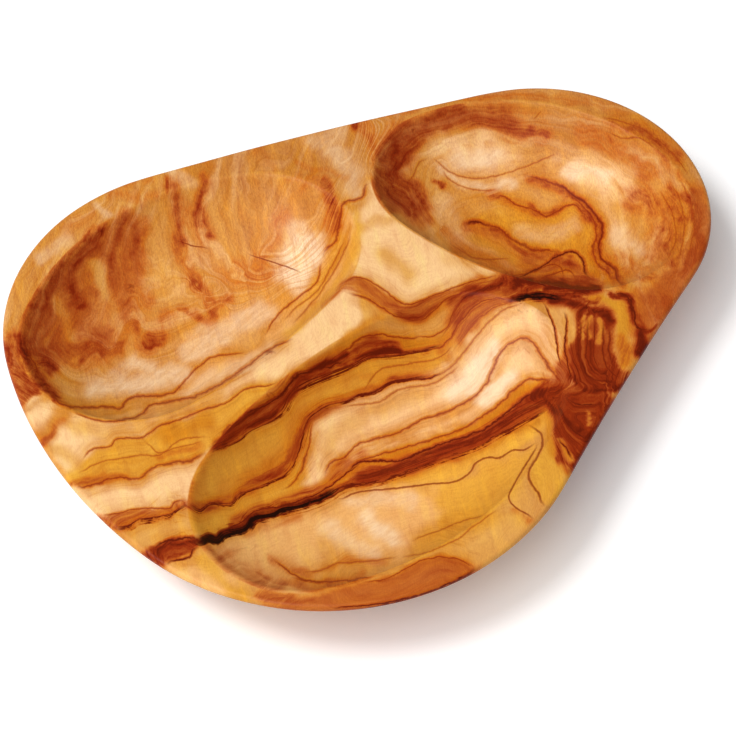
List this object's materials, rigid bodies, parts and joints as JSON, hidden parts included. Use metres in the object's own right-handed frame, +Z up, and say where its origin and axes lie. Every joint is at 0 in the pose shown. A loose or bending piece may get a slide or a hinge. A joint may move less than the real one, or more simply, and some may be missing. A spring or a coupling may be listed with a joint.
{
  "type": "olive dish",
  "caption": "Free-form olive-wood dish with oval wells carved side by side into a solid block, for serving olives and nibbles at the table.",
  "frame": {"origin": "on the table, under the middle of the rim's length and width", "axes": "+X along the dish's length, to the right in the picture; +Y away from the viewer; +Z up"},
  "size_m": [0.2199, 0.203, 0.03],
  "materials": {
    "olive_wood": "oiled satin"
  },
  "bodies": {
    "root": {"dish": "olive_wood"}
  },
  "joints": []
}
